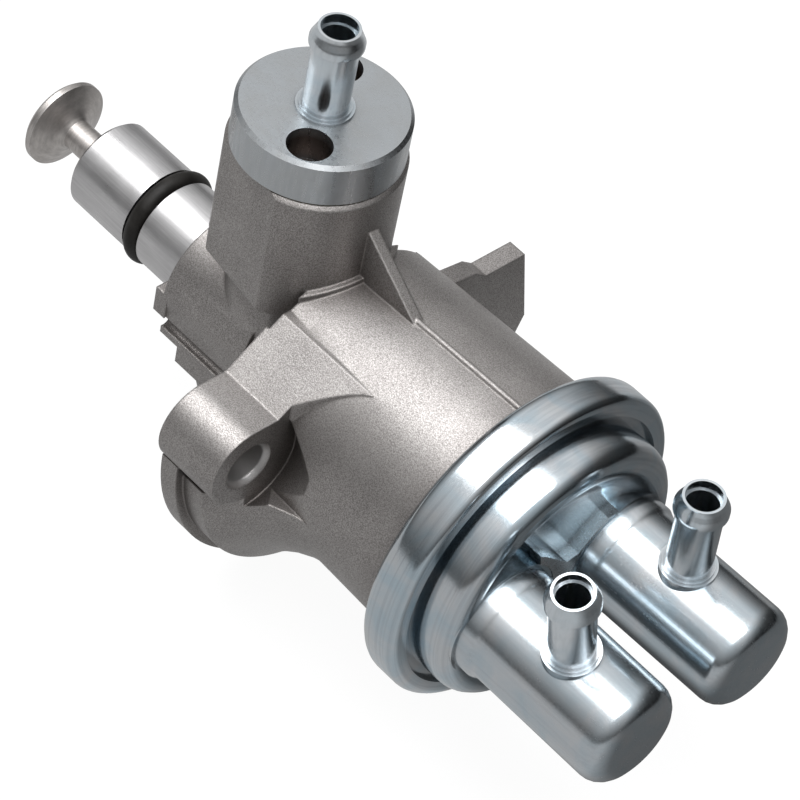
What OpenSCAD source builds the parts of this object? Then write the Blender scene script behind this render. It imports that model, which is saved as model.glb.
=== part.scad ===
// Mechanical fuel pump with a diaphragm stage under a stamped cover and a piston stage in a cast body.
// The pump axis is X. The mounting flange faces -X and its front face is at x = 0.
// The outlet tower is up, along Z.

/* [Sleeve and tappet] */
// Outer diameter of the guide sleeve
sleeve_d = 21.2; // [18:0.1:26]
// Length of the sleeve that stands out of the neck
sleeve_out = 37; // [30:0.5:45]
// Length of the sleeve held in the neck
sleeve_in = 24; // [16:0.5:26]
// Diameter of the tappet stem
stem_d = 6.9; // [6:0.1:9]
// Diameter of the tappet head
head_d = 20.2; // [16:0.1:24]
// Thickness of the head at its rim
head_rim_t = 2.1; // [1.5:0.1:4]
// Length of the cone behind the rim
head_cone_l = 2.5; // [2:0.1:5]
// Stem that shows between the head and the sleeve
stem_out = 11.3; // [8:0.1:14]
// Stroke given by the cam
stroke = 5; // [3:0.1:6]
// Thickness of the sleeve seal ring
seal_d = 4.2; // [3:0.1:5]
// Distance from the sleeve end to the middle of the seal ring
seal_from_end = 20; // [15:0.5:28]
// Depth of the sleeve groove
seal_groove = 3.2; // [2.4:0.1:3.6]

/* [Body] */
// Length of the neck in front of the flange
neck_l = 33.5; // [28:0.5:38]
// Radius of the neck
neck_r = 15.4; // [14:0.1:18]
// Thickness of the mounting flange
flange_t = 4.5; // [4:0.1:8]
// Radius of the lower flange
flange_r = 45.5; // [40:0.5:52]
// Radius of the body behind the flange
body_r = 29.2; // [26:0.1:32]
// Growth of the body radius up to the ring
body_flare = 1.8; // [0.5:0.1:3]
// Distance from the flange face to the crimp ring
body_l = 51.9; // [46:0.1:60]
// Thickness of the near ear along the bolt
ear_t = 16; // [12:0.5:20]
// Radius of the near ear's round end
ear_r = 9.6; // [8:0.1:12]
// Radius of the bolt circle
bolt_circle_r = 36.7; // [34:0.1:40]
// Angle of the bolts above the horizontal
bolt_angle = 9.5; // [5:0.5:14]
// Diameter of the bolt holes
bolt_hole_d = 9.2; // [8.4:0.1:10.5]
// Chamfer of the bolt holes, on the side of the bolt heads
bolt_chamfer = 1; // [0.4:0.1:1.5]

/* [Tower and outlet] */
// Distance of the tower axis in front of the flange
tower_back = 13.6; // [12:0.1:16]
// Radius of the tower
tower_r = 18.4; // [17:0.1:20]
// Height of the tower above the pump axis
tower_h = 50.8; // [46:0.2:56]
// Radius of the bore in the tower
tower_bore_r = 11; // [9:0.1:12]
// Radius of the outlet plug
plug_r = 17.8; // [16:0.1:19]
// Height of the plug head
plug_h = 10.2; // [8:0.1:13]
// Diameter of the spanner holes in the plug
spanner_d = 9.4; // [7:0.1:10]
// Distance of the spanner holes from the plug axis
spanner_off = 12; // [11.2:0.1:12.4]
// Direction of the near spanner hole, from the X axis
spanner_angle = 304; // [270:1:330]

/* [Cover and ring] */
// How far the crimp ring stands out past the body
ring_over = 8.2; // [7:0.1:10]
// Width of the crimp ring
ring_w = 9.4; // [8:0.1:12]
// Wall of the crimp ring
ring_wall = 1.3; // [1:0.1:1.6]
// How far the cover wall stands out past the body
cover_over = 2; // [0.8:0.1:3]
// Height of the cover bead over its rim
cover_h = 11.5; // [9:0.1:14]
// Depth of the dished middle of the cover
cover_dish = 3; // [2:0.1:4]
// Thickness of the cover sheet
cover_t = 1.5; // [1:0.1:2]
// Thickness of the diaphragm
diaphragm_t = 1.5; // [1:0.1:2]

/* [Valve cans and hose tubes] */
// Radius of the valve cans
can_r = 11.7; // [11.3:0.1:12]
// Radius of the cans where the cover holds them
can_base_r = 12.5; // [12.2:0.1:13]
// Length of the wider base that stands out of the collar
can_base_out = 3.7; // [2:0.1:6]
// Length of the valve cans from their wider base
can_l = 34.5; // [28:0.5:44]
// Wall of the valve cans
can_wall = 1.2; // [0.8:0.1:1.5]
// Distance between the can axes
can_pitch = 32; // [31:0.2:33]
// Height of the can axes against the pump axis
can_z = -1.4; // [-2.4:0.1:1]
// Outward turn of the transfer can
can_splay = 1.2; // [0:0.1:2]
// Distance from the wider base to the inlet hose tube
inlet_from_base = 15.8; // [10:0.2:20]
// Distance from the wider base to the transfer hose tube
transfer_from_base = 13.6; // [10:0.2:20]
// Lean of the inlet hose tube
inlet_lean = 13.5; // [0:0.5:16]
// Lean of the transfer hose tube
transfer_lean = 5; // [0:0.5:16]
// Outer diameter of the hose tubes
tube_d = 9.5; // [8.4:0.1:10.5]
// Diameter of the bead on the hose tubes
tube_bead_d = 11.2; // [10.6:0.1:12]
// Length of a hose tube
tube_l = 21.4; // [18:0.2:26]
// Wall of a hose tube
tube_wall = 1.3; // [0.8:0.1:1.6]

/* [Hidden] */

// Overrun of the cuts
cut = 1;
// Clearance of the sliding pieces
slide_gap = 0.04;
// Gap at rest between pieces that meet without force
rest_gap = 0.3;
// Small chamfer on turned edges
edge = 0.8;
// Steps of a rounded corner
arc_n = 6;

// Guide sleeve and tappet
sleeve_r = sleeve_d / 2;
stem_r = stem_d / 2;
head_r = head_d / 2;
sleeve_front = -neck_l - sleeve_out;
sleeve_back = -neck_l + sleeve_in;
head_back = sleeve_front - stem_out;
head_front = head_back - head_cone_l - head_rim_t;
stem_fillet = 1;
seal_x = sleeve_front + seal_from_end;
seal_ring_r = seal_d / 2;
seal_mid_r = sleeve_r + seal_ring_r - seal_groove;
seal_groove_w = 4.6;
rod_seal_l = 5;
rod_seal_r = 6.2;
rod_seal_lip = 1.4;
retainer_t = 1.2;
retainer_x = sleeve_back - retainer_t;
rod_seal_x = retainer_x - rod_seal_l;

// Piston stage
piston_bore_r = 9;
piston_l = 12;
piston_ring_w = 2;
piston_ring_deep = 1.4;
socket_l = 5;
piston_r = piston_bore_r - slide_gap;
piston_front = sleeve_back + rest_gap;
piston_back = piston_front + piston_l;
piston_ring_x = piston_front + (piston_l - piston_ring_w) / 2;
wall_x = 24.5;
wall_t = 5;
rod_r = 3;
wall_seal_l = 2.4;
wall_seal_r = 5.4;
return_wire = 1.6;
return_coils = 5;
return_mid_r = 6.6;

// Joint of body, diaphragm and cover, all held by the crimp ring
body_end_r = body_r + body_flare;
cover_r = body_r + cover_over;
ring_r = body_r + ring_over;
ring_back = body_l;
ring_front = ring_back + ring_w;
ring_back_round = 2.8;
ring_front_round = 2;
ring_lip_over = 2.2;
ring_lip_r = cover_r + ring_lip_over;
ring_hole_r = body_end_r + rest_gap;
joint_r = ring_r - ring_wall - slide_gap;
rim_back = ring_back + ring_wall;
cover_x = ring_front - ring_wall - cover_t;
diaphragm_x = cover_x - diaphragm_t;
chamber_x = wall_x + wall_t;
chamber_wall = 3.6;
chamber_r = body_r - chamber_wall;

// Diaphragm assembly, drawn towards the body at rest
plate_x = diaphragm_x - stroke;
plate_r = 16;
plate_t = 1.6;
plate_lip = 1.2;
fold_r = chamber_r - edge;
fold_n = 12;
nut_h = 3;
nut_af = 10;
rod_end = 1;
nut_x = plate_x + diaphragm_t + plate_t;

// Stamped cover
crest_x = cover_x + cover_h;
bead_r = 4.2;
crest_r = cover_r - bead_r;
dish_r = 19;
dish_x = crest_x - cover_dish;
floor_x = dish_x - cover_t;
collar_wall = 0.9;
collar_r = can_base_r + collar_wall;
collar_h = crest_x - floor_x - edge / 4;
strap_h = cover_dish;
strap_shares = [[-0.30, -0.44], [-0.56, 0.78], [-0.47, 0.72], [0, 0.31], [0.20, 0.34], [0.38, 0.54],
    [0.62, 0.72], [0.86, 0.73], [0.30, -0.44]];

// Valve cans, in a frame of their own with x = 0 on the inner face of the cover
can_y = can_pitch / 2;
can_base_l = collar_h + can_base_out;
can_end = can_base_l + can_l;
can_end_round = 4.6;
can_bore_r = can_r - can_wall;
can_base_bore_r = can_base_r - can_wall;
can_step = can_base_l - can_wall;
inlet_tube_x = can_base_l + inlet_from_base;
transfer_tube_x = can_base_l + transfer_from_base;

// Valves
seat_t = 2.4;
seat_hole_r = 4;
seat_land = 0.4;
disc_r = 5.6;
disc_t = 1;
valve_wire = 0.6;
valve_coils = 4;
valve_spring_r = 4.3;
post_r = 0.8;
post_at = 6.7;
posts = 3;
cage_r = 7.6;
cage_hole_r = 3.4;
cage_ring_t = 1.2;
cage_h = 9;
cage_ring_z = cage_h - cage_ring_t;
disc_z = seat_t + seat_land;
valve_spring_z = disc_z + disc_t;
valve_spring_l = cage_ring_z - valve_spring_z;

// Hose tubes, in a frame of their own with z = 0 on the surface that carries them
tube_r = tube_d / 2;
tube_bead_r = tube_bead_d / 2;
tube_bore_r = tube_r - tube_wall;
tube_mouth_r = tube_bore_r + tube_wall / 4;
tube_mouth_l = 2.4;
tube_end_r = tube_r - tube_wall / 3;
tube_end_l = 0.3;
tube_inset = 2;
bead_low = 4.4;
bead_mid = 4;
bead_land = 1;
braze_r = tube_r + 1.2;
braze_step_r = tube_r + 0.6;
braze_h = 0.5;
braze_step_h = 1;

// Tower, plug and outlet passage
tower_x = -tower_back;
tower_flat = 15.9;
tower_flat_angle = 261.5;
tower_low = 20;
tower_root_r = 13.5;
tower_ledge = 1.3;
tower_floor = 21;
passage_r = 2.2;
passage_in_x = 10.5;
passage_in_z = 9;
plug_seal_t = 0.5;
plug_base = tower_h + plug_seal_t;
plug_top = tower_h + plug_h;
shank_l = 12;
shank_z = plug_base - shank_l;
spanner_l = 8;
outlet_out = 20.3;
outlet_socket = 6;
outlet_hole_r = 3.2;

// Flange, ears and ribs
bolt_y = -bolt_circle_r * cos(bolt_angle);
bolt_z = bolt_circle_r * sin(bolt_angle);
bolt_hole_r = bolt_hole_d / 2;
spot_r = bolt_hole_r + 4;
far_ear_shares = [[0.30, 0.36], [0.65, 0.23], [0.79, 0.21], [0.86, 0.16], [1.11, 0.16], [1.22, -0.30],
    [1.12, -0.58], [0.75, -0.80]];
pad_step = 0.8;
pad_side = 5;
pad_y = neck_r + pad_side;
shoulder_l = 27.5;
shoulder_y = -17.2;
shoulder_z = 25;
ear_top_y = -30;
ear_root_y = -27;
pocket_r = 12.3;
pocket_end_r = 7;
pocket_l = 10;
flare_x = 9;
flare_l = 27;
flange_step = 2;
flange_off = 1.5;
flare_rim_r = flange_r - flange_step;
flare_h = flare_rim_r - body_r;
flare_r = (flare_l * flare_l + flare_h * flare_h) / (2 * flare_h);
flare_turn = asin(flare_l / flare_r);
gusset_t = 2.6;
gusset_top_z = 42;
gusset_top_x = 5;
gusset_foot_x = 22;
parting_r = 0.7;
keel_shares = [[-0.97, 0], [-0.97, -0.70], [-0.60, -1.12], [-0.42, -1.65], [0.42, -1.65], [0.60, -1.12],
    [0.97, -0.70], [0.97, 0]];
keel_back_shares = [[-0.97, 0], [-0.97, -0.97], [-0.55, -1.45], [-0.40, -1.93], [0.40, -1.93],
    [0.55, -1.45], [0.97, -0.97], [0.97, 0]];
keel_back_l = 28;
groove_r = 1.7;
groove_at = neck_r + 0.9;
groove_angles = [207, 224];
slot_l = 9.5;
slot_deep = 3;
lug_l = 2.5;
lug_w = 4;
lug_low = 6;
lug_h = 6.5;

// Points of a round corner about c, from angle a0 to a1
function arc(c, r, a0, a1, n = arc_n) = [for (i = [0:n])
    let (a = a0 + (a1 - a0) * i / n)
    c + r * [cos(a), sin(a)]];

// A smooth rise from 0 to 1
function ease(s) = (1 - cos(180 * s)) / 2;

// Turns Z into X, so that a height becomes a place along the pump axis
module along_x() rotate([0, 90, 0]) children();

// A solid of revolution about X from points of radius and x
module turned_x(points, n = 96) along_x() rotate_extrude($fn = n) polygon(points);

// A straight cylinder or cone along X
module rod_x(r, x0, x1, r2 = undef, n = 96) translate([x0, 0, 0]) along_x()
    cylinder(h = x1 - x0, r1 = r, r2 = is_undef(r2) ? r : r2, $fn = n);

// A round ring along X
module ring_x(r, hole_r, x0, x1) difference() {
    rod_x(r, x0, x1);
    rod_x(hole_r, x0 - cut, x1 + cut);
}

// An outline in y and z, extruded along X
module slab_x(x0, t) translate([x0, 0, 0]) rotate([90, 0, 90]) linear_extrude(t) children();

// An outline in x and z, extruded along Y about y = 0
module slab_y(t) rotate([90, 0, 0]) linear_extrude(t, center = true) children();

// A coil spring along Z, from z = 0
module coil(r, wire, h, coils, steps = 14, sides = 6) {
    n = coils * steps;
    rise = h - wire;
    ring_points = [for (i = [0:n]) for (k = [0:sides - 1])
        let (a = 360 * i / steps, b = 360 * k / sides, rr = r + wire / 2 * cos(b))
        [rr * cos(a), rr * sin(a), wire / 2 + rise * i / n + wire / 2 * sin(b)]];
    side_faces = [for (i = [0:n - 1]) for (k = [0:sides - 1])
        let (p = i * sides + k, q = i * sides + (k + 1) % sides)
        each [[p, p + sides, q], [q, p + sides, q + sides]]];
    start_face = [for (k = [0:sides - 1]) k];
    end_face = [for (k = [sides - 1:-1:0]) n * sides + k];
    polyhedron(points = ring_points, faces = concat(side_faces, [start_face, end_face]), convexity = 10);
}

// Carries a can, its tube and its valve. Side is -1 for the inlet and 1 for the transfer can
module can_place(side) translate([floor_x, side * can_y, can_z])
    rotate([0, 0, side > 0 ? can_splay : 0]) children();

// The half space below the pump axis
module lower_half(size) translate([-size, -size, -2 * size]) cube(2 * size);

// The neck holds the sleeve. It has a keel with grooves below, and a slot before the flange on its near side
module neck() difference() {
    union() {
        rod_x(neck_r, -neck_l, flange_t);
        slab_x(-neck_l, neck_l) polygon(neck_r * keel_shares);
        slab_x(-keel_back_l, keel_back_l) polygon(neck_r * keel_back_shares);
        translate([-neck_l - lug_l, -neck_r, -lug_low]) cube([lug_l + cut, lug_w, lug_h]);
    }
    for (a = groove_angles) translate([0, groove_at * cos(a), groove_at * sin(a)])
        rod_x(groove_r, -neck_l - lug_l - cut, 0);
    difference() {
        translate([-slot_l, -neck_r - cut, 0]) cube([slot_l, neck_r + cut, neck_r + cut]);
        rod_x(neck_r - slot_deep, -slot_l - cut, cut);
    }
}

// The far ear, and the lower flange with a flare that starts from a step and runs out on the body
module flange() {
    slab_x(0, flange_t) polygon(concat([[0, 0]], flange_r * far_ear_shares));
    slab_x(0, flange_t) intersection() {
        translate([flange_off, 0]) circle(flange_r, $fn = 128);
        translate([-flange_r, -flange_r]) square([2 * flange_r, flange_r]);
    }
    intersection() {
        turned_x(concat([[0, 0], [flare_rim_r, 0]], arc([body_r + flare_r, flare_x + flare_l], flare_r,
            flare_turn - 180, -180), [[0, flare_x + flare_l]]));
        slab_x(0, flare_x + flare_l) translate([flange_off, 0]) circle(flare_rim_r, $fn = 128);
        translate([0, 0, bolt_z - ear_r]) lower_half(flange_r + cut);
    }
}

// The near ear is a thick slab that runs up to a shoulder, with a hollow corner where the shoulder ends
module near_ear() intersection() {
    slab_x(0, shoulder_l) {
        translate([bolt_y, bolt_z]) circle(ear_r, $fn = 96);
        polygon([[bolt_y, bolt_z + ear_r], [ear_top_y, bolt_z + ear_r], [shoulder_y, shoulder_z],
            [0, shoulder_z], [0, bolt_z - ear_r], [bolt_y, bolt_z - ear_r]]);
    }
    linear_extrude(4 * shoulder_l, center = true) polygon(concat([[0, 0], [0, bolt_y - ear_r],
        [ear_t, bolt_y - ear_r]], [for (i = [0:arc_n]) let (s = i / arc_n)
        [ear_t + (shoulder_l - ear_t) * s, ear_root_y + (shoulder_y - ear_root_y) * (s + sin(90 * s)) / 2]],
        [[shoulder_l, 0]]));
}

// The outlet tower is round, with one flat on the near side, and stands on a narrower root
module tower() {
    translate([tower_x, 0, 0]) {
        cylinder(h = tower_low + cut, r = tower_root_r, $fn = 96);
        difference() {
            translate([0, 0, tower_low]) rotate_extrude($fn = 128) polygon([[0, 0], [tower_r, 0],
                [tower_r, tower_h - tower_low - edge], [tower_r - edge, tower_h - tower_low],
                [0, tower_h - tower_low]]);
            rotate([0, 0, tower_flat_angle]) translate([tower_flat, -tower_r, 0])
                cube([tower_r, 2 * tower_r, tower_h + cut]);
        }
    }
    intersection() {
        translate([tower_x, 0, 0]) cylinder(h = tower_h, r = tower_r + tower_ledge, $fn = 128);
        rod_x(body_r + tower_ledge, pad_step, tower_x + tower_r + 2 * tower_ledge);
    }
}

module gusset() {
    slab_y(gusset_t) polygon([[0, 0], [0, gusset_top_z], [gusset_top_x, gusset_top_z],
        [gusset_foot_x, body_r], [gusset_foot_x, 0]]);
    translate([0, 0, body_r]) rotate([0, -atan(body_flare / body_l), 0]) rod_x(parting_r, 0, ring_back);
}

// A bolt hole with a chamfer where the bolt head sits
module bolt_cut(y, z, t) translate([0, y, z]) {
    rod_x(bolt_hole_r, -cut, t + cut);
    rod_x(bolt_hole_r, t - bolt_chamfer, t, bolt_hole_r + bolt_chamfer);
}

// The machined pad is the lower flange and the two ears. The rest of the front is left a little behind it
module pad_relief() translate([-cut, -pad_y, 0]) cube([pad_step + cut, 2 * pad_y, 2 * body_r]);

// A drilled way from the tower floor to the pump chamber
module passage() {
    run = passage_in_x - tower_x;
    fall = tower_floor - passage_in_z;
    translate([tower_x, 0, tower_floor]) rotate([0, 90 + atan(fall / run), 0])
        translate([0, 0, -cut]) cylinder(h = norm([run, fall]) + cut, r = passage_r, $fn = 48);
}

module pump_body() color("silver") difference() {
    union() {
        difference() {
            union() {
                rod_x(body_r, 0, rim_back, body_end_r);
                flange();
                near_ear();
            }
            pad_relief();
        }
        rod_x(joint_r, rim_back, diaphragm_x);
        neck();
        tower();
        gusset();
    }
    rod_x(sleeve_r, -neck_l - cut, sleeve_back);
    rod_x(piston_bore_r, sleeve_back - cut, wall_x);
    rod_x(rod_r + slide_gap, wall_x - cut, chamber_x + cut);
    rod_x(wall_seal_r, wall_x - cut, wall_x + wall_seal_l);
    rod_x(chamber_r, chamber_x, diaphragm_x + cut);
    translate([tower_x, 0, tower_floor]) cylinder(h = tower_h, r = tower_bore_r, $fn = 96);
    passage();
    bolt_cut(bolt_y, bolt_z, ear_t);
    translate([0, bolt_y, bolt_z]) rod_x(pocket_r, ear_t, ear_t + pocket_l, pocket_end_r);
    bolt_cut(-bolt_y, -bolt_z, flange_t);
    translate([0, -bolt_y, -bolt_z]) rod_x(spot_r, flange_t, flange_t + flare_l);
}

module guide_sleeve() color("gainsboro") difference() {
    turned_x([[0, sleeve_front], [sleeve_r - edge, sleeve_front], [sleeve_r, sleeve_front + edge],
        [sleeve_r, sleeve_back], [0, sleeve_back]]);
    rod_x(stem_r + slide_gap, sleeve_front - cut, sleeve_back + cut);
    rod_x(rod_seal_r, rod_seal_x, sleeve_back + cut);
    ring_x(sleeve_r + cut, sleeve_r - seal_groove, seal_x - seal_groove_w / 2, seal_x + seal_groove_w / 2);
}

module sleeve_seal_ring() color("dimgray") translate([seal_x, 0, 0]) along_x()
    rotate_extrude($fn = 96) translate([seal_mid_r, 0]) circle(seal_ring_r, $fn = 48);

// The head is a disc with a shallow cone behind it
module tappet() color("slategray") turned_x([[0, head_front], [head_r - edge, head_front],
    [head_r, head_front + edge], [head_r, head_front + head_rim_t], [stem_r + stem_fillet, head_back],
    [stem_r, head_back + stem_fillet], [stem_r, piston_front + socket_l], [0, piston_front + socket_l]]);

module rod_seal() color("darkslategray") turned_x([[rod_seal_r, rod_seal_x], [rod_seal_r, retainer_x],
    [rod_seal_r - rod_seal_lip, retainer_x], [stem_r + rod_seal_lip, rod_seal_x + rod_seal_lip],
    [stem_r + slide_gap, retainer_x], [stem_r + slide_gap, rod_seal_x]]);

module seal_retainer() color("gray") ring_x(rod_seal_r, stem_r + rest_gap, retainer_x, sleeve_back);

module piston() color("lightgray") difference() {
    turned_x([[0, piston_front], [piston_r - edge, piston_front], [piston_r, piston_front + edge],
        [piston_r, piston_back - edge], [piston_r - edge, piston_back], [0, piston_back]]);
    ring_x(piston_r + cut, piston_r - piston_ring_deep, piston_ring_x, piston_ring_x + piston_ring_w);
    rod_x(stem_r, piston_front - cut, piston_front + socket_l);
    rod_x(rod_r, piston_back - socket_l, piston_back + cut);
}

module piston_ring() color("dimgray") ring_x(piston_bore_r - slide_gap / 2, piston_r - piston_ring_deep,
    piston_ring_x, piston_ring_x + piston_ring_w);

module return_spring() color("dimgray") translate([piston_back, 0, 0]) along_x()
    coil(return_mid_r, return_wire, wall_x - piston_back, return_coils);

module wall_seal() color("darkslategray")
    ring_x(wall_seal_r, rod_r + slide_gap, wall_x, wall_x + wall_seal_l);

module diaphragm_rod() color("lightgray") rod_x(rod_r, piston_back - socket_l, nut_x + nut_h + rod_end);

// The front plate has its rounded lip away from the diaphragm, and the rear plate too
module diaphragm_plate_front() color("silver") translate([plate_x - plate_t, 0, 0])
    turned_x([[rod_r, 0], [plate_r - plate_lip, 0], [plate_r, plate_t / 2], [plate_r, plate_t],
        [rod_r, plate_t]]);

module diaphragm_plate_rear() color("silver") translate([plate_x + diaphragm_t, 0, 0])
    turned_x([[rod_r, 0], [plate_r, 0], [plate_r, plate_t / 2], [plate_r - plate_lip, plate_t],
        [rod_r, plate_t]]);

function diaphragm_face(x) = concat([[rod_r, x]],
    [for (i = [0:fold_n]) [plate_r + (fold_r - plate_r) * i / fold_n, x + stroke * ease(i / fold_n)]],
    [[joint_r, x + stroke]]);
function flipped(list) = [for (i = [len(list) - 1:-1:0]) list[i]];

module diaphragm() color("darkolivegreen")
    turned_x(concat(diaphragm_face(plate_x), flipped(diaphragm_face(plate_x + diaphragm_t))));

module diaphragm_nut() color("gray") difference() {
    rod_x(nut_af / 2 / cos(30), nut_x, nut_x + nut_h, n = 6);
    rod_x(rod_r, nut_x - cut, nut_x + nut_h + cut);
}

module crimp_ring() color("lightsteelblue") turned_x(concat([[ring_hole_r, ring_back]],
    arc([ring_r - ring_back_round, ring_back + ring_back_round], ring_back_round, -90, 0),
    arc([ring_r - ring_front_round, ring_front - ring_front_round], ring_front_round, 0, 90),
    [[ring_lip_r, ring_front], [ring_lip_r, ring_front - ring_wall],
    [ring_r - ring_wall, ring_front - ring_wall], [ring_r - ring_wall, rim_back], [ring_hole_r, rim_back]]));

// The filled outline of the cover, moved inwards by t, from its dished middle over the bead to the base
function dome(t, base) = concat([[0, base], [0, dish_x - t]],
    [for (i = [0:arc_n])
        [dish_r + (crest_r - dish_r) * i / arc_n, dish_x - t + cover_dish * ease(i / arc_n)]],
    arc([crest_r, crest_x - bead_r], bead_r - t, 90, 0), [[cover_r - t, base]]);

module diaphragm_cover() color("lightsteelblue") difference() {
    union() {
        turned_x(dome(0, cover_x));
        rod_x(joint_r, cover_x, cover_x + cover_t);
        for (side = [-1, 1]) can_place(side) rod_x(collar_r, 0, collar_h);
    }
    difference() {
        turned_x(dome(cover_t, cover_x - cut));
        for (side = [-1, 1]) can_place(side) rod_x(collar_r, 0, collar_h);
    }
    for (side = [-1, 1]) can_place(side) rod_x(can_base_r, -cut, collar_h + cut);
}

// A rough plate on the dished middle of the cover, between the collars, with a hook over the inlet collar
module valve_strap() color("dimgray") difference() {
    slab_x(dish_x, strap_h) polygon(can_y * strap_shares);
    for (side = [-1, 1]) can_place(side) rod_x(collar_r + slide_gap, 0, collar_h + strap_h);
}

module can_shell() turned_x(concat([[0, 0], [can_base_r, 0], [can_base_r, can_base_l - edge],
    [can_r + edge / 2, can_base_l], [can_r, can_base_l + edge]],
    arc([can_r - can_end_round, can_end - can_end_round], can_end_round, 0, 90), [[0, can_end]]));

module can_hollow() turned_x(concat([[0, -cut], [can_base_bore_r, -cut], [can_base_bore_r, can_step],
    [can_bore_r, can_step]],
    arc([can_r - can_end_round, can_end - can_end_round], can_end_round - can_wall, 0, 90),
    [[0, can_end - can_wall]]));

// A drawn can with its hole for the hose tube, which stands at x and leans outwards
module valve_can(x, lean) color("lightsteelblue") difference() {
    can_shell();
    can_hollow();
    translate([x, 0, 0]) rotate([lean, 0, 0]) cylinder(h = can_r + cut, r = tube_r, $fn = 96);
}

// A hose tube with a bead near its end and a stepped mouth
module hose_tube(l, inset) difference() {
    rotate_extrude($fn = 96) polygon([[0, -inset], [tube_r, -inset], [tube_r, l - bead_low],
        [tube_bead_r, l - bead_mid], [tube_bead_r, l - bead_mid + bead_land], [tube_end_r, l - tube_end_l],
        [tube_end_r, l], [0, l]]);
    translate([0, 0, -inset - cut]) cylinder(h = l + inset + 2 * cut, r = tube_bore_r, $fn = 96);
    translate([0, 0, l - tube_mouth_l]) cylinder(h = tube_mouth_l + cut, r = tube_mouth_r, $fn = 96);
}

// The brazed foot of a hose tube. It runs into the tube and down past what the tube stands on
module braze() rotate_extrude($fn = 96) polygon([[tube_r - edge / 4, -tube_inset], [braze_r, -tube_inset],
    [braze_r, braze_h], [braze_step_r, braze_h], [braze_step_r, braze_step_h],
    [tube_r - edge / 4, braze_step_h]]);

module can_tube(x, lean) color("lightsteelblue") translate([x, 0, 0]) rotate([lean, 0, 0]) {
    translate([0, 0, can_r]) hose_tube(tube_l, tube_inset);
    difference() {
        translate([0, 0, can_r]) braze();
        rod_x(can_r, -can_r, can_r);
    }
}

// A seat with a cage on posts that holds the valve spring, from z = 0 upwards
module valve_seat(r) color("darkgoldenrod") {
    difference() {
        union() {
            cylinder(h = seat_t, r = r, $fn = 96);
            translate([0, 0, seat_t]) cylinder(h = seat_land, r = seat_hole_r + edge, $fn = 96);
        }
        translate([0, 0, -cut]) cylinder(h = seat_t + seat_land + 2 * cut, r = seat_hole_r, $fn = 96);
    }
    for (i = [0:posts - 1]) rotate([0, 0, 360 * i / posts]) translate([post_at, 0, seat_t])
        cylinder(h = cage_ring_z - seat_t, r = post_r, $fn = 32);
    translate([0, 0, cage_ring_z]) difference() {
        cylinder(h = cage_ring_t, r = cage_r, $fn = 96);
        translate([0, 0, -cut]) cylinder(h = cage_ring_t + 2 * cut, r = cage_hole_r, $fn = 96);
    }
}

module valve_disc() color("saddlebrown") translate([0, 0, disc_z])
    cylinder(h = disc_t, r = disc_r, $fn = 96);

module valve_spring() color("gray") translate([0, 0, valve_spring_z])
    coil(valve_spring_r, valve_wire, valve_spring_l, valve_coils);

// The inlet valve opens into the pump, so it stands upside down in its can
module inlet_valve_place() can_place(-1) translate([can_step, 0, 0]) rotate([0, -90, 0]) children();
module transfer_valve_place() can_place(1) along_x() children();
module outlet_valve_place() translate([tower_x, 0, tower_floor]) children();

module outlet_plug() color("lightsteelblue") translate([tower_x, 0, 0]) difference() {
    rotate_extrude($fn = 128) polygon([[0, shank_z], [tower_bore_r - edge, shank_z],
        [tower_bore_r, shank_z + edge], [tower_bore_r, plug_base], [plug_r, plug_base],
        [plug_r, plug_top - edge], [plug_r - edge, plug_top], [0, plug_top]]);
    translate([0, 0, shank_z - cut]) cylinder(h = plug_top, r = outlet_hole_r, $fn = 96);
    translate([0, 0, plug_top - outlet_socket]) cylinder(h = plug_top, r = tube_r, $fn = 96);
    for (turn = [0, 180]) rotate([0, 0, spanner_angle + turn])
        translate([spanner_off, 0, plug_top - spanner_l]) cylinder(h = plug_top, d = spanner_d, $fn = 96);
}

module plug_seal() color("khaki") translate([tower_x, 0, tower_h]) difference() {
    cylinder(h = plug_seal_t, r = plug_r - edge / 2, $fn = 128);
    translate([0, 0, -cut]) cylinder(h = plug_seal_t + 2 * cut, r = tower_bore_r, $fn = 96);
}

module outlet_tube() color("lightsteelblue") translate([tower_x, 0, plug_top]) {
    hose_tube(outlet_out, outlet_socket);
    difference() {
        braze();
        translate([0, 0, -outlet_socket]) cylinder(h = outlet_socket, r = plug_r, $fn = 96);
    }
}

pump_body();
guide_sleeve();
sleeve_seal_ring();
tappet();
rod_seal();
seal_retainer();
piston();
piston_ring();
return_spring();
wall_seal();
diaphragm_rod();
diaphragm_plate_front();
diaphragm();
diaphragm_plate_rear();
diaphragm_nut();
crimp_ring();
diaphragm_cover();
valve_strap();
can_place(-1) valve_can(inlet_tube_x, inlet_lean);  // inlet_can
can_place(-1) can_tube(inlet_tube_x, inlet_lean);  // inlet_tube
inlet_valve_place() valve_seat(can_base_bore_r);  // inlet_valve_seat
inlet_valve_place() valve_disc();  // inlet_valve_disc
inlet_valve_place() valve_spring();  // inlet_valve_spring
can_place(1) valve_can(transfer_tube_x, transfer_lean);  // transfer_can
can_place(1) can_tube(transfer_tube_x, transfer_lean);  // transfer_tube
transfer_valve_place() valve_seat(can_base_bore_r);  // transfer_valve_seat
transfer_valve_place() valve_disc();  // transfer_valve_disc
transfer_valve_place() valve_spring();  // transfer_valve_spring
outlet_plug();
plug_seal();
outlet_tube();
outlet_valve_place() valve_seat(tower_bore_r);  // outlet_valve_seat
outlet_valve_place() valve_disc();  // outlet_valve_disc
outlet_valve_place() valve_spring();  // outlet_valve_spring
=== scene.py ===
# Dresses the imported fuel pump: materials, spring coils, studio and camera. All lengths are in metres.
import math

import bmesh
import bpy
from mathutils import Matrix, Vector

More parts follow.
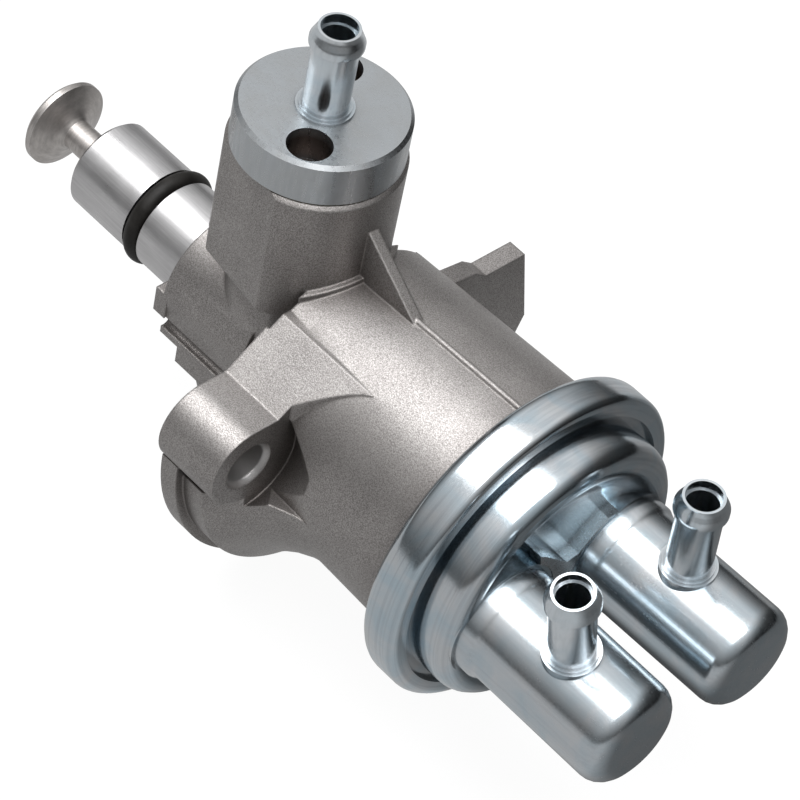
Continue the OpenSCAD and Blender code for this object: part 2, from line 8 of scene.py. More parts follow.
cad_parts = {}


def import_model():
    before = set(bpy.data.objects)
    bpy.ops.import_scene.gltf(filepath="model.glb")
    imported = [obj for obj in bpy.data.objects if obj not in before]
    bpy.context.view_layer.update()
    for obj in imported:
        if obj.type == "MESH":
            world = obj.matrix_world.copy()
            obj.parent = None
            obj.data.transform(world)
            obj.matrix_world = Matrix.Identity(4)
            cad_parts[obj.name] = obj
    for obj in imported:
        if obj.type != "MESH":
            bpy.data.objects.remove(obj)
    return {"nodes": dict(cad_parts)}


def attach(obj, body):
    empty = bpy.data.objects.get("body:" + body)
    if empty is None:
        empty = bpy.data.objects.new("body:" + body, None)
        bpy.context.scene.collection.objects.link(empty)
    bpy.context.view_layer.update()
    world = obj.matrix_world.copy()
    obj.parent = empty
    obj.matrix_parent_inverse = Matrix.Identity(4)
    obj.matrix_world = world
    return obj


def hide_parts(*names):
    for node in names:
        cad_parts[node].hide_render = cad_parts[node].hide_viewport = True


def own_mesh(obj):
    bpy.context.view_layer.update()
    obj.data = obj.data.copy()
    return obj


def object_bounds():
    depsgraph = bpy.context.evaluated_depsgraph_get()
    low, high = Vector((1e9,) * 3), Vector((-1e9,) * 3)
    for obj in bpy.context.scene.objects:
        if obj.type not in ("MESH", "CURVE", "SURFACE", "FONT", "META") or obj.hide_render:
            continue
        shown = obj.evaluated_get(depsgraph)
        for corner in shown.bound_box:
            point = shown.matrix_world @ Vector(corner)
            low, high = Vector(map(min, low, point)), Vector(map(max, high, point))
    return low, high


MM = 0.001
ORIGIN = (0, 0, 0)
X_WAY, Z_WAY = (1, 0, 0), (0, 0, 1)
FLAT = (1, 1, 0)
WHITE = (1, 1, 1, 1)

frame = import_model()
cad_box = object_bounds()


# Node helpers

# Ranges over which a value fades from one end to the other
EVEN = (0.3, 0.7)
FULL = (0.0, 1.0)
# The share of open sky, from a tight corner to an open face, over which the painted shade in corners fades
CREASE_SHADE_FADE = (0.35, 0.95)
# The dot product of the rounded and the true normal, from an edge to an open face
EDGE_FADE, EDGE_FULL = (0.875, 1.0), 0.9
# The sockets of a mix node that are in use when it mixes colors
MIX_SHARE, MIX_FIRST, MIX_SECOND, MIX_RESULT = 0, 6, 7, 2
BEVEL_SAMPLES, CREASE_SHADE_SAMPLES = 6, 8
RING_NOISE_DRIFT = 0.06


def add(tree, kind, inputs=None, **settings):
    """A node with its settings, and its inputs given as values or as sockets to link."""
    item = tree.nodes.new(kind)
    for name, value in settings.items():
        setattr(item, name, value)
    for name, value in (inputs or {}).items():
        socket = item.inputs[name]
        if isinstance(value, bpy.types.NodeSocket):
            tree.links.new(value, socket)
        else:
            socket.default_value = value
    return item


def calc(tree, operation, first, second):
    """One step of arithmetic on two numbers."""
    return add(tree, "ShaderNodeMath", {0: first, 1: second}, operation=operation).outputs["Value"]


def vector(tree, operation, first, second=ORIGIN):
    """One step of arithmetic on vectors that gives a vector."""
    item = add(tree, "ShaderNodeVectorMath", {0: first, 1: second}, operation=operation)
    return item.outputs["Vector"]


def measure(tree, operation, first, second=ORIGIN):
    """One step of arithmetic on vectors that gives a number, such as a length."""
    item = add(tree, "ShaderNodeVectorMath", {0: first, 1: second}, operation=operation)
    return item.outputs["Value"]


def part_point(tree):
    """The place on the part, in its own frame."""
    return add(tree, "ShaderNodeTexCoord").outputs["Object"]


def clouds(tree, point, size, detail, rough=0.5, warp=0.0):
    """Cloudy noise whose blobs are about this size."""
    values = {"Vector": point, "Scale": 1 / size, "Detail": detail, "Roughness": rough, "Distortion": warp}
    return add(tree, "ShaderNodeTexNoise", values).outputs["Fac"]


def noise(tree, size, detail=2.0, stretch=(1, 1, 1), rough=0.5, warp=0.0):
    """Noise that is drawn out along the way whose stretch is below 1."""
    point = add(tree, "ShaderNodeMapping", {"Vector": part_point(tree), "Scale": stretch}).outputs["Vector"]
    return clouds(tree, point, size, detail, rough, warp)


def ring_noise(tree, size, detail):
    """Noise drawn out into streaks that run round the pump's X axis."""
    parts = add(tree, "ShaderNodeSeparateXYZ", {"Vector": part_point(tree)})
    radius = off_axis(tree, ORIGIN, X_WAY)
    slow = calc(tree, "MULTIPLY", parts.outputs["Y"], RING_NOISE_DRIFT)
    path = add(tree, "ShaderNodeCombineXYZ", {"X": parts.outputs["X"], "Y": radius, "Z": slow})
    return clouds(tree, path.outputs["Vector"], size, detail)


def spread(tree, value, fade, ends=FULL):
    """The value's range fade, mapped to the range ends and held there."""
    values = {"Value": value, "From Min": fade[0], "From Max": fade[1], "To Min": ends[0], "To Max": ends[1]}
    return add(tree, "ShaderNodeMapRange", values, clamp=True).outputs["Result"]


def off_axis(tree, center, along):
    """The distance from center, without the part of it that runs in the ways named by along."""
    across = tuple(1 - part for part in along)
    offset = vector(tree, "SUBTRACT", part_point(tree), center)
    return measure(tree, "LENGTH", vector(tree, "MULTIPLY", offset, across))


def blend_color(tree, share, first, second):
    """The first color where share is 0 and the second where it is 1."""
    values = {MIX_SHARE: share, MIX_FIRST: first, MIX_SECOND: second}
    for index in (MIX_FIRST, MIX_SECOND):
        if isinstance(values[index], tuple):
            values[index] = (*values[index], 1)
    return add(tree, "ShaderNodeMix", values, data_type="RGBA").outputs[MIX_RESULT]


def rounded(tree, radius):
    """The normal as it would be with the edges rounded off."""
    return add(tree, "ShaderNodeBevel", {"Radius": radius}, samples=BEVEL_SAMPLES).outputs["Normal"]


def edges(tree, radius, start, share):
    """The mask share on a sharp edge and 0 on open faces, for edges lightened as wear and as a painted
    highlight. It starts to show at start, from 0 to 1.
    """
    true_normal = add(tree, "ShaderNodeNewGeometry").outputs["True Normal"]
    same = measure(tree, "DOT_PRODUCT", rounded(tree, radius), true_normal)
    return spread(tree, spread(tree, same, EDGE_FADE, (1, 0)), (start, EDGE_FULL), (0, share))


def painted_crease_shade(tree, reach, share):
    """Painted shade: the mask share in a tight corner, where shade falls, and 0 on open faces."""
    sky = add(tree, "ShaderNodeAmbientOcclusion", {"Distance": reach}, samples=CREASE_SHADE_SAMPLES)
    return spread(tree, sky.outputs["AO"], CREASE_SHADE_FADE, (share, 0))


def bump(tree, height, depth, strength, normal=None):
    """A normal with this height field on it, over another normal if one is given."""
    values = {"Height": height, "Distance": depth, "Strength": strength}
    if normal is not None:
        values["Normal"] = normal
    return add(tree, "ShaderNodeBump", values).outputs["Normal"]


def about(value, shares):
    """A range round a value, given as shares of it."""
    return tuple(min(1, value * share) for share in shares)


def material(name, metallic, **sockets):
    """An empty principled material with its constant sockets set."""
    made = bpy.data.materials.new(name)
    made.use_nodes = True
    shader = made.node_tree.nodes["Principled BSDF"]
    shader.inputs["Metallic"].default_value = metallic
    for socket, value in sockets.items():
        shader.inputs[socket.replace("_", " ")].default_value = value
    return made, made.node_tree, shader


def link(tree, shader, color, roughness=None, normal=None):
    """Gives a shader its color, and its roughness and normal where they aren't constant."""
    for name, value in (("Base Color", color), ("Roughness", roughness), ("Normal", normal)):
        if value is not None:
            tree.links.new(value, shader.inputs[name])


# Places on the part

BOLT_Y, BOLT_Z = 36.2 * MM, 6.06 * MM
BOLT_CUT_FADE = (5.0 * MM, 5.8 * MM)
TOWER_AXIS = (-13.6 * MM, 0, 0)
PLUG_TOP = 61.0 * MM
PLUG_INSIDE_FADE = (16.6 * MM, 16.9 * MM)
PLUG_DEPTH_FADE = (0.7 * MM, 2.5 * MM)
COVER_HOLLOW_FADE = (14 * MM, 21 * MM)


# The casting

CAST_METALLIC = 0.8
CAST_GRAIN, CAST_PITS, CAST_CLOUD = 0.24 * MM, 0.55 * MM, 12 * MM
CAST_DARK, CAST_LIGHT = (0.255, 0.238, 0.232), (0.34, 0.321, 0.313)
CAST_PIT, CAST_PIT_SHARE = (0.07, 0.063, 0.06), 0.35
CAST_SPARK, CAST_SPARK_SHARE = (0.80, 0.78, 0.76), 0.3
CAST_SPECK_FADE = (0.36, 0.68)
# Edges lightened partly as wear and partly as a painted highlight: colour, radius, start and share
CAST_EDGE_WEAR_AND_HIGHLIGHT, CAST_EDGE_R, CAST_EDGE_START, CAST_EDGE_SHARE = (0.60, 0.58, 0.56), 0.5 * MM, 0.1, 0.25
# Painted shade that darkens the casting in tight corners: its colour, reach and share
CAST_PAINTED_SHADE, CAST_SHADE_REACH, CAST_SHADE_SHARE = (0.09, 0.075, 0.068), 9 * MM, 0.6
CAST_CUT = (0.44, 0.43, 0.425)
CAST_ROUND = 0.7 * MM
CAST_GRAIN_DEPTH, CAST_GRAIN_BUMP = 0.04 * MM, 0.5
CAST_PIT_DEPTH, CAST_PIT_BUMP = 0.06 * MM, 0.45
CAST_ROUGH_FADE, CAST_ROUGH = (0.35, 0.75), (0.48, 0.34)


def cast_material():
    """Blasted aluminium: a sparkling grain, a cloudy tone, edges lightened as wear and as a painted highlight,
    painted shade in tight corners, and cut bolt holes.
    """
    made, tree, shader = material("cast_aluminium", CAST_METALLIC)
    grain = noise(tree, CAST_GRAIN)
    pits = noise(tree, CAST_PITS, detail=3.0, rough=0.6)
    cloud = noise(tree, CAST_CLOUD, detail=3.0)
    tone = blend_color(tree, spread(tree, cloud, EVEN), CAST_DARK, CAST_LIGHT)
    pit_tone = blend_color(tree, CAST_PIT_SHARE, tone, CAST_PIT)
    spark_tone = blend_color(tree, CAST_SPARK_SHARE, tone, CAST_SPARK)
    color = blend_color(tree, spread(tree, grain, CAST_SPECK_FADE), pit_tone, spark_tone)
    # Edge wear and a painted highlight: the colour lightens on sharp edges
    color = blend_color(tree, edges(tree, CAST_EDGE_R, CAST_EDGE_START, CAST_EDGE_SHARE), color, CAST_EDGE_WEAR_AND_HIGHLIGHT)
    # Painted shade: the colour darkens in tight corners, where shade falls
    color = blend_color(tree, painted_crease_shade(tree, CAST_SHADE_REACH, CAST_SHADE_SHARE), color, CAST_PAINTED_SHADE)
    for side in (-1, 1):
        bolt = (0, side * BOLT_Y, -side * BOLT_Z)
        cut = spread(tree, off_axis(tree, bolt, X_WAY), BOLT_CUT_FADE, (1, 0))
        color = blend_color(tree, cut, color, CAST_CUT)
    normal = bump(tree, pits, CAST_PIT_DEPTH, CAST_PIT_BUMP, rounded(tree, CAST_ROUND))
    normal = bump(tree, grain, CAST_GRAIN_DEPTH, CAST_GRAIN_BUMP, normal)
    link(tree, shader, color, spread(tree, grain, CAST_ROUGH_FADE, CAST_ROUGH), normal)
    return made


# Zinc plate

ZINC_CLOUD, ZINC_CLOUD_WARP, ZINC_MIST = 7 * MM, 0.6, 0.4 * MM
ZINC_DRAWN, ZINC_ROLLED = 0.9 * MM, 0.8 * MM
ZINC_GREY, ZINC_BLUE_LIFT = 0.56, (-0.18, -0.04, 0.05)
ZINC_PLAIN, ZINC_WARM, ZINC_WARM_SHARE = (0.55, 0.58, 0.605), (0.58, 0.545, 0.48), 0.25
ZINC_BLUE_FADE, ZINC_WARM_FADE = (0.35, 0.65), (0.62, 0.8)
ZINC_STREAK, ZINC_STREAK_FADE = (0.24, 0.27, 0.30), (0.45, 0.75)
DRAWN_SHARE, ROLLED_SHARE = 0.14, 0.4
ZINC_HOLLOW, ZINC_HOLLOW_SHARE = (0.55, 0.72, 0.82), 0.75
# Painted shade inside the plug's spanner holes
ZINC_HOLE_SHADE = (0.17, 0.148, 0.138)
# Painted shade that darkens the zinc at joints and in tight corners: its colour, reach and share
ZINC_PAINTED_SHADE, ZINC_SHADE_REACH, ZINC_SHADE_SHARE = (0.10, 0.11, 0.12), 2.2 * MM, 0.6
# Edges lightened partly as wear and partly as a painted highlight: colour, radius, start and share
ZINC_EDGE_WEAR_AND_HIGHLIGHT, ZINC_EDGE_R, ZINC_EDGE_START, ZINC_EDGE_SHARE = (0.78, 0.80, 0.82), 0.25 * MM, 0.2, 0.3
ZINC_ROUGH_FADE, ZINC_ROUGH_SHARES = (0.3, 0.75), (0.8, 1.25)
ZINC_MIST_FADE, ZINC_MIST_ROUGH = (0.35, 0.7), (-0.02, 0.04)
ZINC_STREAK_DEPTH, ZINC_MIST_DEPTH, ZINC_BUMP = 0.006 * MM, 0.004 * MM, 0.5


def zinc_material(name, gloss, tint, drawn=(1, 1, 1), shade=1.0, rolled=False, holes=False):
    """Bright zinc plate: a little blue, with faint warm clouds, drawn or rolled streaks and a soft mist.

    The rolled cover has a bluer hollow, and the plug has painted shade in its holes.
    """
    made, tree, shader = material(name, 1.0)
    cloud = noise(tree, ZINC_CLOUD, warp=ZINC_CLOUD_WARP)
    mist = noise(tree, ZINC_MIST, detail=3.0)
    streak = ring_noise(tree, ZINC_ROLLED, 4.0) if rolled else noise(tree, ZINC_DRAWN, 4.0, drawn)
    streak_share = ROLLED_SHARE if rolled else DRAWN_SHARE
    # Painted light and shade: shade makes lighter and darker copies of the one zinc, lighter for the tubes and
    # darker for the plug
    blue = tuple(shade * (ZINC_GREY + tint * lift) for lift in ZINC_BLUE_LIFT)
    plain = tuple(shade * part for part in ZINC_PLAIN)
    color = blend_color(tree, spread(tree, cloud, ZINC_BLUE_FADE), blue, plain)
    warm = spread(tree, cloud, ZINC_WARM_FADE, (0, tint * ZINC_WARM_SHARE))
    color = blend_color(tree, warm, color, ZINC_WARM)
    color = blend_color(tree, spread(tree, streak, ZINC_STREAK_FADE, (0, streak_share)), color, ZINC_STREAK)
    if rolled:
        hollow = spread(tree, off_axis(tree, ORIGIN, X_WAY), COVER_HOLLOW_FADE, (ZINC_HOLLOW_SHARE, 0))
        color = blend_color(tree, hollow, color, ZINC_HOLLOW)
    # Painted shade: the plug darkens below its top face, inside its spanner holes, where shade falls
    if holes:
        inside = spread(tree, off_axis(tree, TOWER_AXIS, Z_WAY), PLUG_INSIDE_FADE, (1, 0))
        depth = spread(tree, off_axis(tree, (0, 0, PLUG_TOP), FLAT), PLUG_DEPTH_FADE)
        color = blend_color(tree, calc(tree, "MULTIPLY", inside, depth), color, ZINC_HOLE_SHADE)
    # Painted shade: the zinc darkens at joints and in tight corners, where shade falls
    color = blend_color(tree, painted_crease_shade(tree, ZINC_SHADE_REACH, ZINC_SHADE_SHARE), color, ZINC_PAINTED_SHADE)
    # Edge wear and a painted highlight: the zinc lightens on sharp edges
    color = blend_color(tree, edges(tree, ZINC_EDGE_R, ZINC_EDGE_START, ZINC_EDGE_SHARE), color, ZINC_EDGE_WEAR_AND_HIGHLIGHT)
    streak_rough = spread(tree, streak, ZINC_ROUGH_FADE, about(gloss, ZINC_ROUGH_SHARES))
    mist_rough = spread(tree, mist, ZINC_MIST_FADE, ZINC_MIST_ROUGH)
    normal = bump(tree, streak, ZINC_STREAK_DEPTH, ZINC_BUMP, bump(tree, mist, ZINC_MIST_DEPTH, ZINC_BUMP))
    link(tree, shader, color, calc(tree, "ADD", streak_rough, mist_rough), normal)
    return made


# Steel, rubber and the small inner pieces

TURN_MARKS, TURN_CLOUD, TURN_DEPTH, TURN_BUMP = 0.5 * MM, 8 * MM, 0.006 * MM, 0.6
TURN_CLOUD_FADE, TURN_CLOUD_SHARE = (0.35, 0.75), 0.3
# Edges lightened partly as wear and partly as a painted highlight: colour, radius, start and share
TURN_EDGE_WEAR_AND_HIGHLIGHT, TURN_EDGE_R, TURN_EDGE_START, TURN_EDGE_SHARE = (0.86, 0.86, 0.86), 0.2 * MM, 0.2, 0.5
TURN_ROUGH_SHARES = (0.8, 1.3)
RUBBER_GRAIN, RUBBER_DUST, RUBBER_DEPTH, RUBBER_BUMP = 0.25 * MM, 3 * MM, 0.02 * MM, 0.5
RUBBER_DUST_FADE, RUBBER_SHINE = (0.4, 0.75), 0.3
DUST_GAIN, DUST_LIFT = 1.9, 0.012
RUBBER_ROUGH_SHARES = (0.85, 1.2)
PLAIN_GRAIN, PLAIN_DEPTH, PLAIN_BUMP, PLAIN_DARK_SHARE = 0.4 * MM, 0.015 * MM, 0.5, 0.72
PLAIN_ROUGH_SHARES = (0.8, 1.2)


def turned_material(name, light, dark, gloss, lay):
    """Turned or ground steel with fine marks along one way."""
    made, tree, shader = material(name, 1.0)
    marks = noise(tree, TURN_MARKS, 5.0, lay, rough=0.65)
    cloud = noise(tree, TURN_CLOUD)
    color = blend_color(tree, spread(tree, marks, EVEN), dark, light)
    color = blend_color(tree, spread(tree, cloud, TURN_CLOUD_FADE, (0, TURN_CLOUD_SHARE)), color, dark)
    # Edge wear and a painted highlight: the steel lightens on sharp edges
    color = blend_color(tree, edges(tree, TURN_EDGE_R, TURN_EDGE_START, TURN_EDGE_SHARE), color, TURN_EDGE_WEAR_AND_HIGHLIGHT)
    normal = bump(tree, marks, TURN_DEPTH, TURN_BUMP, rounded(tree, TURN_EDGE_R))
    link(tree, shader, color, spread(tree, cloud, EVEN, about(gloss, TURN_ROUGH_SHARES)), normal)
    return made


def rubber_material(name, color, rough):
    """Dark rubber or cloth with a little dust."""
    made, tree, shader = material(name, 0.0, Specular_IOR_Level=RUBBER_SHINE)
    grain = noise(tree, RUBBER_GRAIN, detail=3.0)
    dust = noise(tree, RUBBER_DUST, detail=4.0)
    dusty = tuple(min(1, part * DUST_GAIN + DUST_LIFT) for part in color)
    tone = blend_color(tree, spread(tree, dust, RUBBER_DUST_FADE), color, dusty)
    roughness = spread(tree, grain, EVEN, about(rough, RUBBER_ROUGH_SHARES))
    link(tree, shader, tone, roughness, bump(tree, grain, RUBBER_DEPTH, RUBBER_BUMP))
    return made


def plain_material(name, color, rough, metallic=0.0):
    """One color with a fine grain."""
    made, tree, shader = material(name, metallic)
    grain = noise(tree, PLAIN_GRAIN, detail=3.0)
    darker = tuple(part * PLAIN_DARK_SHARE for part in color)
    tone = blend_color(tree, spread(tree, grain, EVEN), darker, color)
    roughness = spread(tree, grain, EVEN, about(rough, PLAIN_ROUGH_SHARES))
    link(tree, shader, tone, roughness, bump(tree, grain, PLAIN_DEPTH, PLAIN_BUMP))
    return made


# Which finish each piece has

LAY_X, LAY_TUBE, LAY_PLUG, LAY_FACE = (0.05, 1, 1), (1, 1, 0.08), (1, 1, 0.12), (1, 0.2, 0.2)

cast = cast_material()
zinc_body = zinc_material("bright_zinc", gloss=0.17, tint=0.6, rolled=True)
zinc_can = zinc_material("zinc_can", gloss=0.21, tint=0.5, drawn=LAY_X)
# Painted light: the tubes' zinc is a lighter copy of the cans', and the plug's zinc below is a darker one as
# painted shade
zinc_tube = zinc_material("zinc_tube", gloss=0.2, tint=0.4, drawn=LAY_TUBE, shade=1.22)
zinc_strap = zinc_material("zinc_strap", gloss=0.28, tint=0.3)
zinc_plug = zinc_material("satin_zinc", gloss=0.3, tint=0.15, drawn=LAY_PLUG, shade=0.82, holes=True)
ground = turned_material("ground_steel", (0.65, 0.645, 0.65), (0.49, 0.485, 0.49), gloss=0.3, lay=LAY_X)
turned = turned_material("tappet_steel", (0.60, 0.57, 0.55), (0.38, 0.36, 0.345), gloss=0.34, lay=LAY_FACE)
inner = turned_material("inner_steel", (0.6, 0.6, 0.61), (0.4, 0.4, 0.41), gloss=0.3, lay=LAY_X)
seal = rubber_material("seal_rubber", (0.007, 0.006, 0.005), rough=0.5)
cloth = rubber_material("diaphragm_cloth", (0.10, 0.09, 0.06), rough=0.7)
washer = plain_material("seal_washer", (0.58, 0.56, 0.38), rough=0.5)
brass = plain_material("valve_brass", (0.72, 0.56, 0.28), rough=0.3, metallic=1.0)
plastic = plain_material("valve_plastic", (0.10, 0.09, 0.08), rough=0.45)
iron = plain_material("piston_ring_iron", (0.28, 0.28, 0.29), rough=0.4, metallic=1.0)
spring = plain_material("spring_steel", (0.34, 0.34, 0.35), rough=0.35, metallic=1.0)

FINISH = {
    "pump_body": cast, "guide_sleeve": ground, "sleeve_seal_ring": seal, "tappet": turned,
    "rod_seal": seal, "seal_retainer": inner, "piston": inner, "piston_ring": iron,
    "return_spring": spring, "wall_seal": seal, "diaphragm_rod": inner, "diaphragm_nut": zinc_plug,
    "diaphragm_plate_front": zinc_plug, "diaphragm": cloth, "diaphragm_plate_rear": zinc_plug,
    "crimp_ring": zinc_body, "diaphragm_cover": zinc_body, "valve_strap": zinc_strap,
    "inlet_can": zinc_can, "transfer_can": zinc_can, "inlet_tube": zinc_tube,
    "transfer_tube": zinc_tube, "outlet_tube": zinc_tube, "outlet_plug": zinc_plug, "plug_seal": washer,
}
for way in ("inlet", "transfer", "outlet"):
    FINISH[way + "_valve_seat"] = brass
    FINISH[way + "_valve_disc"] = plastic
    FINISH[way + "_valve_spring"] = spring


# Smooth shading

SHARP_ANGLE = math.radians(32)
WELD = 0.002 * MM


def soft_normals():
    """Joins the faces of a solid and shades them smooth, with its real edges kept sharp."""
    group = bpy.data.node_groups.new("soft_normals", "GeometryNodeTree")
    for way in ("INPUT", "OUTPUT"):
        group.interface.new_socket("Geometry", in_out=way, socket_type="NodeSocketGeometry")
    source, result = add(group, "NodeGroupInput"), add(group, "NodeGroupOutput")
    solid = {"Geometry": source.outputs["Geometry"], "Distance": WELD}
    joined = add(group, "GeometryNodeMergeByDistance", solid).outputs["Geometry"]
    angle = add(group, "GeometryNodeInputMeshEdgeAngle").outputs["Unsigned Angle"]
    compare = add(group, "FunctionNodeCompare", {"A": angle, "B": SHARP_ANGLE}, operation="LESS_THAN")
    values = {"Geometry": joined, "Shade Smooth": compare.outputs["Result"]}
    shaded = add(group, "GeometryNodeSetShadeSmooth", values, domain="EDGE")
    group.links.new(shaded.outputs["Geometry"], result.inputs["Geometry"])
    return group


SOFT = soft_normals()
for name, obj in frame["nodes"].items():
    obj.data.materials.clear()
    obj.data.materials.append(FINISH[name])
    obj.data.polygons.foreach_set("use_smooth", [True] * len(obj.data.polygons))
    obj.modifiers.new("soft_normals", "NODES").node_group = SOFT


# Springs, each copied to a coil of its own on the pump body, with the CAD spring hidden. Each row also gives a
# joint, an axis, a seat and the share left when a joint's travel is taken off the room between the seats; the
# loop doesn't use these.

STROKE, STROKE_ROOM = 5.0 * MM, 21.7 * MM
LIFT, LIFT_ROOM = 1.5 * MM, 4.0 * MM
WALL_SEAT = (24.5 * MM, 0, 0)
INLET_SEAT = (64.5 * MM, -16 * MM, -1.4 * MM)
TRANSFER_SEAT, TRANSFER_WAY = (73.3 * MM, 16.1 * MM, -1.4 * MM), (0.999781, 0.020942, 0)
OUTLET_SEAT = (-13.6 * MM, 0, 28.8 * MM)

COILS = (
    ("return_spring", "tappet_stroke", X_WAY, WALL_SEAT, 1 - STROKE / STROKE_ROOM),
    ("inlet_valve_spring", "inlet_valve_lift", X_WAY, INLET_SEAT, 1 - LIFT / LIFT_ROOM),
    ("transfer_valve_spring", "transfer_valve_lift", TRANSFER_WAY, TRANSFER_SEAT, 1 - LIFT / LIFT_ROOM),
    ("outlet_valve_spring", "outlet_valve_lift", Z_WAY, OUTLET_SEAT, 1 - LIFT / LIFT_ROOM),
)
for name, joint, axis, anchor, keep in COILS:
    source = frame["nodes"][name]
    coil = bpy.data.objects.new(name + "_coil", source.data.copy())
    coil.matrix_world = source.matrix_world
    bpy.context.scene.collection.objects.link(coil)
    coil.modifiers.new("soft_normals", "NODES").node_group = SOFT
    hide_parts(name)
    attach(coil, "pump")
    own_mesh(coil)


# Studio

low, high = (Vector(corner) for corner in cad_box)
middle = (low + high) / 2

FLOOR_SIZE, FLOOR_DROP, FLOOR_ROUGH = 6.0, 0.4 * MM, 0.8
# How pale the floor is for light that it throws on the part, and for the camera
FLOOR_TONES = (0.09, 0.85)
FLOOR_GLOW, FLOOR_CAMERA_SHARE = 1.08, 0.88
# What shiny pieces see of the floor's glow all round FLOOR_TURN, darker to one side as a painted shadow of the
# part
FLOOR_TURN, FLOOR_SHADOW_WAY = (0.04, 0, 0), (0.766, 0.643, 0)
FLOOR_SHADOW_FADE, FLOOR_SHINE_TO_SHADOW = (0.35, 0.8), (0.47, 0.05)

TENT_R, TENT_CUT, TENT_STEPS = 1.7, -0.02, 4
WALL_LOW, WALL_MID, WALL_TOP = 0.12, 0.58, 1.0
WALL_RISE, ROOF_RISE = (0.1, 0.55), (0.55, 0.80)
DARK_SIDE, DARK_FADE, DARK_SHARE = (0.5, 0.866, 0), (0.45, 0.85), 0.12

WORLD_LIGHT = 0.08
OVERHEAD_PLACE, OVERHEAD_SIZE, OVERHEAD_WATTS = (-0.15, -0.22, 1.0), (1.6, 0.75), 15
RIM_PLACE, RIM_SIZE, RIM_WATTS = (-0.75, 0.95, 0.55), (0.6, 0.6), 7


def facing(way):
    """The turn that points an object's own Z axis along way."""
    return Vector(way).to_track_quat("Z", "Y").to_euler()


def seen(tree, camera=1.0, glossy=1.0):
    """How much of the white background a ray sees, from the camera or sent on by metal or glass."""
    rays = add(tree, "ShaderNodeLightPath").outputs
    from_camera = calc(tree, "MULTIPLY", rays["Is Camera Ray"], camera)
    from_metal = calc(tree, "MULTIPLY", rays["Is Glossy Ray"], glossy)
    from_glass = calc(tree, "MULTIPLY", rays["Is Transmission Ray"], camera)
    return calc(tree, "MAXIMUM", calc(tree, "MAXIMUM", from_camera, from_metal), from_glass)


def floor_material():
    """A pale floor that looks white and keeps a soft shadow. It throws little light on the part, and shiny
    pieces see a painted shadow of the part on it towards +X and +Y.
    """
    made, tree, shader = material("floor", 0.0, Roughness=FLOOR_ROUGH)
    camera_ray = add(tree, "ShaderNodeLightPath").outputs["Is Camera Ray"]
    pale = spread(tree, camera_ray, FULL, FLOOR_TONES)
    tone = add(tree, "ShaderNodeCombineColor", {"Red": pale, "Green": pale, "Blue": pale})
    link(tree, shader, tone.outputs["Color"])
    # Painted shadow: the floor's glow that shiny pieces see darkens towards +X and +Y, round FLOOR_TURN
    point = add(tree, "ShaderNodeNewGeometry").outputs["Position"]
    flat = vector(tree, "MULTIPLY", vector(tree, "SUBTRACT", point, FLOOR_TURN), FLAT)
    away = measure(tree, "DOT_PRODUCT", vector(tree, "NORMALIZE", flat), FLOOR_SHADOW_WAY)
    shine_with_painted_shadow = spread(tree, away, FLOOR_SHADOW_FADE, FLOOR_SHINE_TO_SHADOW)
    glow = add(tree, "ShaderNodeEmission", {"Color": WHITE, "Strength": FLOOR_GLOW}).outputs["Emission"]
    values = {0: seen(tree, FLOOR_CAMERA_SHARE, shine_with_painted_shadow), 1: shader.outputs["BSDF"], 2: glow}
    mixed = add(tree, "ShaderNodeMixShader", values)
    tree.links.new(mixed.outputs["Shader"], tree.nodes["Material Output"].inputs["Surface"])
    return made


def tent_material():
    """The studio round the part: dim near the floor, pale higher up, and dark on its far right side."""
    made = bpy.data.materials.new("tent")
    made.use_nodes = True
    tree = made.node_tree
    tree.nodes.clear()
    ray = vector(tree, "NORMALIZE", part_point(tree))
    height = add(tree, "ShaderNodeSeparateXYZ", {"Vector": ray}).outputs["Z"]
    wall = spread(tree, height, WALL_RISE, (WALL_LOW, WALL_MID))
    roof = spread(tree, height, ROOF_RISE, (0, WALL_TOP - WALL_MID))
    away = measure(tree, "DOT_PRODUCT", ray, DARK_SIDE)
    open_side = spread(tree, away, DARK_FADE, (1, DARK_SHARE))
    strength = calc(tree, "MULTIPLY", calc(tree, "ADD", wall, roof), open_side)
    glow = add(tree, "ShaderNodeEmission", {"Color": WHITE, "Strength": strength}).outputs["Emission"]
    tree.links.new(glow, add(tree, "ShaderNodeOutputMaterial").inputs["Surface"])
    return made


def show(name, mesh, place, finish):
    """Puts a mesh of the studio in the scene."""
    mesh.materials.append(finish)
    obj = bpy.data.objects.new(name, mesh)
    obj.location = place
    bpy.context.scene.collection.objects.link(obj)
    return obj


def tent(place):
    """Half a sphere round the scene. The camera looks through it."""
    shape = bmesh.new()
    bmesh.ops.create_icosphere(shape, subdivisions=TENT_STEPS, radius=TENT_R)
    below = [corner for corner in shape.verts if corner.co.z < TENT_CUT]
    bmesh.ops.delete(shape, geom=below, context="VERTS")
    mesh = bpy.data.meshes.new("tent")
    shape.to_mesh(mesh)
    shape.free()
    obj = show("tent", mesh, place, tent_material())
    obj.visible_camera = False
    obj.visible_shadow = False
    obj.visible_diffuse = False


def floor(place):
    """A flat square that faces up."""
    half = FLOOR_SIZE / 2
    mesh = bpy.data.meshes.new("floor")
    corners = [(-half, -half, 0), (half, -half, 0), (half, half, 0), (-half, half, 0)]
    mesh.from_pydata(corners, [], [(0, 1, 2, 3)])
    show("floor", mesh, place, floor_material())


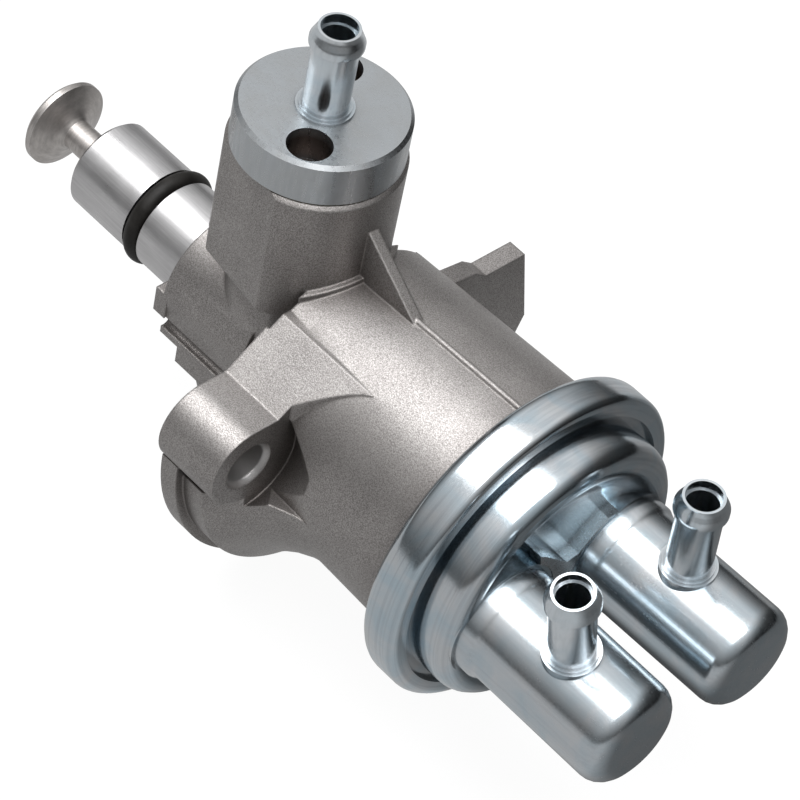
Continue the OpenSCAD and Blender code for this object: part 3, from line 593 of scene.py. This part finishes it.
def softbox(name, place, size, watts, turn):
    """A flat lamp that shines along its own -Z axis."""
    lamp = bpy.data.lights.new(name, "AREA")
    lamp.shape = "RECTANGLE"
    lamp.size, lamp.size_y = size
    lamp.energy = watts
    obj = bpy.data.objects.new(name, lamp)
    obj.location = place
    obj.rotation_euler = turn
    bpy.context.scene.collection.objects.link(obj)
    return obj


def world():
    """White for the camera and for shiny pieces, and dim for the light that it gives."""
    made = bpy.data.worlds.new("studio")
    made.use_nodes = True
    tree = made.node_tree
    back = tree.nodes["Background"]
    back.inputs["Color"].default_value = WHITE
    tree.links.new(spread(tree, seen(tree), FULL, (WORLD_LIGHT, 1)), back.inputs["Strength"])
    bpy.context.scene.world = made


floor((middle.x, middle.y, low.z - FLOOR_DROP))
world()
tent((middle.x, middle.y, low.z))
softbox("overhead", OVERHEAD_PLACE, OVERHEAD_SIZE, OVERHEAD_WATTS, ORIGIN)
rim = softbox("rim", RIM_PLACE, RIM_SIZE, RIM_WATTS, facing(Vector(RIM_PLACE) - middle))
rim.visible_glossy = False


# Camera, at the photograph's view

TARGET = Vector((20.6, 0, 7.4)) * MM
AZIMUTH, ELEVATION, ROLL = math.radians(-51.62), math.radians(45.76), math.radians(12.73)
DISTANCE = 795.2 * MM
LENS, SENSOR = 178.8, 36
CLIP_NEAR, CLIP_FAR = 0.05, 50

flat_reach = math.cos(ELEVATION)
eye = Vector((flat_reach * math.cos(AZIMUTH), flat_reach * math.sin(AZIMUTH), math.sin(ELEVATION)))
lens = bpy.data.cameras.new("camera")
lens.lens = LENS
lens.sensor_width = SENSOR
lens.clip_start = CLIP_NEAR
lens.clip_end = CLIP_FAR
camera = bpy.data.objects.new("camera", lens)
camera.location = TARGET + eye * DISTANCE
upright = eye.to_track_quat("Z", "Y").to_matrix()
camera.rotation_euler = (upright @ Matrix.Rotation(ROLL, 3, "Z")).to_euler()
bpy.context.scene.collection.objects.link(camera)
bpy.context.scene.camera = camera
bpy.context.scene.view_settings.view_transform = "Standard"
